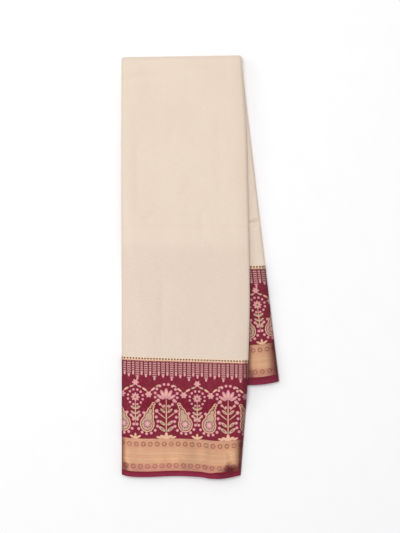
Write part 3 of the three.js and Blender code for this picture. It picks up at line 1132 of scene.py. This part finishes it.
def polar(x, y):
    """Distance from a point and the angle round it."""
    px, py = two_numbers(local(x, y))
    return length_of(px, py), math_node(tree, "ARCTAN2", py, px)


def rosette(x, y, radius, petals):
    """A flower with round petals."""
    from_centre, angle = polar(x, y)
    lobe = abs(math_node(tree, "COSINE", angle * (petals / 2)))
    return lobe * (radius * 0.45) + radius * 0.55 - from_centre


def blossom_ring(x, y, radius, count, blossom, turn=0.0):
    """Round blossoms set evenly on a circle."""
    from_centre, angle = polar(x, y)
    off = wrapped(angle + math.radians(turn), 2 * math.pi / count) * radius
    return blossom - length_of(from_centre - radius, off)


def filled(inside, soft=0.3):
    return step(inside, -soft, soft)


# %% [markdown]
# The figures are gathered by colour, because each colour is one weft thread: gold, pink and beige.
# Every row of the table is one oval: its place from the repeat's middle and the ground line, its
# half sizes and its turn.

# %% Figures of the border
OVALS = {
    "gold": [
        (0, 4, 2.6, 5.5, 0), (4.6, 2.6, 5.2, 2.2, 24), (11, 2.0, 4.2, 1.6, 14),
        (0, 33, 0.8, 31, 0), (7, 50, 6.4, 0.7, 52), (7.4, 35, 7.4, 0.7, 38),
        (47, 3.2, 1.8, 5.2, 0), (42.6, 2.6, 4.4, 1.6, -28), (47, 40, 0.7, 17, 0),
        (33.0, 74.5, 4.0, 1.5, 32), (20.0, 75.0, 4.0, 1.5, -38),
    ],
    "beige": [
        (6.4, 14.5, 6.0, 2.2, 36), (6.0, 23.5, 5.4, 2.0, 38), (5.4, 42, 4.8, 1.8, 40),
        (43.6, 31.5, 3.6, 1.5, -40), (43.2, 38.5, 3.8, 1.5, -36), (43.2, 46, 4.0, 1.6, -32),
        (41.0, 78.5, 3.2, 1.3, 20), (12.5, 80.5, 3.2, 1.3, -24),
    ],
    "pink": [
        (0, 69, 2.9, 7.8, 0), (5.0, 67.5, 2.6, 7.2, -28), (8.8, 63.5, 2.3, 6.4, -58),
        (12.0, 58.2, 2.7, 2.7, 0), (14.6, 41.5, 2.8, 2.8, 0),
    ],
}
PAISLEY = [
    (29.0, 22.0, 11.0, 12.0, 0), (26.6, 32.5, 8.0, 8.6, 0), (24.2, 40.6, 5.4, 7.0, 14),
    (21.6, 47.4, 3.3, 5.6, 26), (19.2, 52.6, 3.0, 2.6, 0),
]

drawn = {name: union(*(oval(*row) for row in rows)) for name, rows in OVALS.items()}
paisley = union(*(oval(*row) for row in PAISLEY))
seed = rosette(28.6, 22.0, 5.2, 8)
blossoms = union(
    blossom_ring(28.6, 23.5, 16.0, 14, 2.15, turn=8),
    blossom_ring(0, 66.0, 17.0, 16, 2.1, turn=11),
    blossom_ring(47, 62.0, 11.6, 12, 1.8, turn=15),
)
above_ground = step(level, 0.4, 1.2)
flowers = union(rosette(47, 62.0, 6.8, 8), rosette(26.6, 67.0, 5.4, 6), rosette(47, 84.5, 5.2, 6))
print("figures:", len(tree.nodes), "nodes")

# %% [markdown]
# Above the figures hangs a comb of woven strings: narrow bead chains and wide ladders by turns,
# with a drop at each end. Every second string is longer, and every fourth longer still. Two lines
# close the border, a peach one and a pale gold one with a row of dark dots in it.

# %% Comb of strings and the closing lines
STRING_PITCH, STRING_START, BEAD = 6.53, 2.0, 3.3
SHORT, MID, LONG = 156.6, 153.6, 149.4
COMB_TOP, DROPS_BELOW = (175.2, 174.6), (170, 169)
DOT_PITCH, DOT_ROW = 4.5, (178.1, 180.4)

by_string = u + STRING_START
string = wrapped(by_string, STRING_PITCH)
turn_of_two = step(sine(by_string + STRING_PITCH / 2, STRING_PITCH * 2), -0.02, 0.02)
turn_of_four = step(sine(by_string + STRING_PITCH / 2, STRING_PITCH * 4, 0.8), -0.02, 0.02)
string_end = SHORT + turn_of_two * (MID - SHORT) + turn_of_two * turn_of_four * (LONG - MID)
over_end = v - string_end
rows = step(sine(v + turn_of_two * abs(string) * 0.4, BEAD), -0.4, 0.4)
half_width = 1.5 + turn_of_two * (0.1 + 0.9 * step(over_end, 0, 3.5)) + rows * 0.45
hang = step(over_end, -0.2, 0.4) * step(v, *COMB_TOP)
cord = step(abs(string) - half_width, 0.25, -0.25) * hang
drop = step(length_of(string, (over_end + 0.4) * 0.62), 1.8, 1.3) * step(v, *DROPS_BELOW)
comb = cord * (0.95 + (rows - 1) * (0.72 + turn_of_two * 0.13))
dots = between(v, *DOT_ROW, 0.2) * step(abs(wrapped(u, DOT_PITCH)), 1.4, 1.05)

# %% [markdown]
# The layers go on from the ground up. The maroon ground is uneven, as hand-dyed silk is. The
# figures have a fine hatch, because their floats are tied down every few threads, and the paisley
# is built of three outlines, one inside the other, round a rosette. Both folds are darkened with
# painted shade, the front leg's shadow is painted on the back leg, and the back leg is painted a
# little darker.

# %% Figured border
GOLD = srgb(240, 192, 160)
PINK = srgb(230, 162, 168)
TIP_PINK = srgb(224, 161, 163)
BEIGE = srgb(216, 184, 156)
PALE_GOLD = srgb(244, 214, 182)
COMB_PEACH = srgb(222, 158, 154)
COMB_GAP = srgb(98, 28, 40)
DOT_BROWN = srgb(72, 32, 20)
CLOSING_GOLD = srgb(232, 178, 150)
# dark colour painted over the border as shade
BORDER_SHADE_PAINT = srgb(70, 18, 34)

ground_noise = noise(at, 0.16, 3)
tie_wave = sine(u + v * 0.5, 1.7) * sine(v, 1.3)
ties = step(tie_wave, 0.15, 0.6)
tied = 1 - ties * 0.35
# painted shade along the right fold
right_fold_shade = step(right, 11, 3) * (0.6 - on_reverse(u) * 0.3)
colour = layered(
    BORDER_GROUND,
    (step(ground_noise, 0.4, 0.75) * 0.4, MAROON_BRIGHT),
    (filled(blossoms) * above_ground * tied, PINK),
    (filled(blossoms - 1.5) * above_ground * 0.7, GOLD),
    (filled(drawn["beige"]) * tied, BEIGE),
    (filled(drawn["beige"] - 1.1) * 0.6, MAROON_DEEP),
    (filled(drawn["gold"]) * tied, GOLD),
    (filled(drawn["pink"]) * tied, PINK),
    (filled(drawn["pink"] - 1.5) * 0.8, GOLD),
    (filled(paisley) * tied, GOLD),
    (filled(paisley - 1.5), BORDER_GROUND),
    (filled(paisley - 2.5) * (1 - step(tie_wave, -0.2, 0.3) * 0.5), BEIGE),
    (filled(seed + 1.2), MAROON_DEEP),
    (filled(seed), PINK),
    (filled(seed - 3.2), GOLD),
    (filled(flowers) * tied, PINK),
    (filled(flowers - 2.6), GOLD),
    (filled(flowers - 4.2), MAROON_DEEP),
    (hang * 0.8, COMB_GAP),
    (comb, COMB_PEACH),
    (drop, TIP_PINK),
    (step(v, 175.0, 175.4), COMB_GAP),
    (step(v, 175.7, 176.1), CLOSING_GOLD),
    (step(v, 177.4, 178.0), PALE_GOLD),
    (dots, DOT_BROWN),
    # painted shade along both folds, with the front leg's painted shadow on the back leg
    (union(right_fold_shade, step(left, 4.8, 1.2) * 0.37), BORDER_SHADE_PAINT),
)
raised = union(filled(blossoms), filled(paisley), filled(union(*drawn.values())), cord)
# the back leg's darker tone is painted shade
finish(colour, 0.93 + ground_noise * 0.12 - on_reverse(u) * 0.1,
       weave(u, v) * 0.4 + raised * 0.8 + ties * 0.3, 0.08)

# %% [markdown]
# The inner layers' edges take their colour from how far up the cloth they are: maroon selvedge,
# gold band, maroon border, cream field. Their fold noses show the ground colours, not figures.

# %% Inner layers
layers = new_material("layer_edges", Roughness=0.6, Sheen_Weight=0.25)
at, _, v = map_fields(layers.node_tree, "cloth")
fibre = noise(at, 1.2, 2, stretch_v=6)
ABOVE_BANDS = {"selvedge": ZARI_GROUND, "zari": MAROON_GROUND, "figured": CREAM_GROUND}
colour = layered(MAROON_GROUND, *(
    (step(v, DRAWN_TOPS[band] - 0.3, DRAWN_TOPS[band] + 0.3), above)
    for band, above in ABOVE_BANDS.items()
))
finish(colour, 0.86 + fibre * 0.2, fibre, 0.05)

BAND_FINISH = {"selvedge": selvedge, "zari": zari, "figured": border, "field": cream, "fold": cream}
for node, obj in outer.items():
    obj.data.materials.append(BAND_FINISH[node.split("_")[1]])
inner.data.materials.append(layers)

# %% [markdown]
# The table is plain painted board, pale and matt, with the faintest unevenness.

# %% Table finish
BOARD_DEEP, BOARD_PALE = srgb(250, 250, 250), srgb(253, 253, 253)

board = new_material("pale_board", Roughness=0.9, Specular_IOR_Level=0.1)
tree = board.node_tree
place = new_node(tree, "TexCoord", {}, "Object")
speckle = new_node(tree, "TexNoise", {"Vector": place, "Scale": 30})
colour = layered(BOARD_DEEP, (speckle, BOARD_PALE))
plug(colour, tree.nodes["Principled BSDF"].inputs["Base Color"])
table.data.materials.append(board)
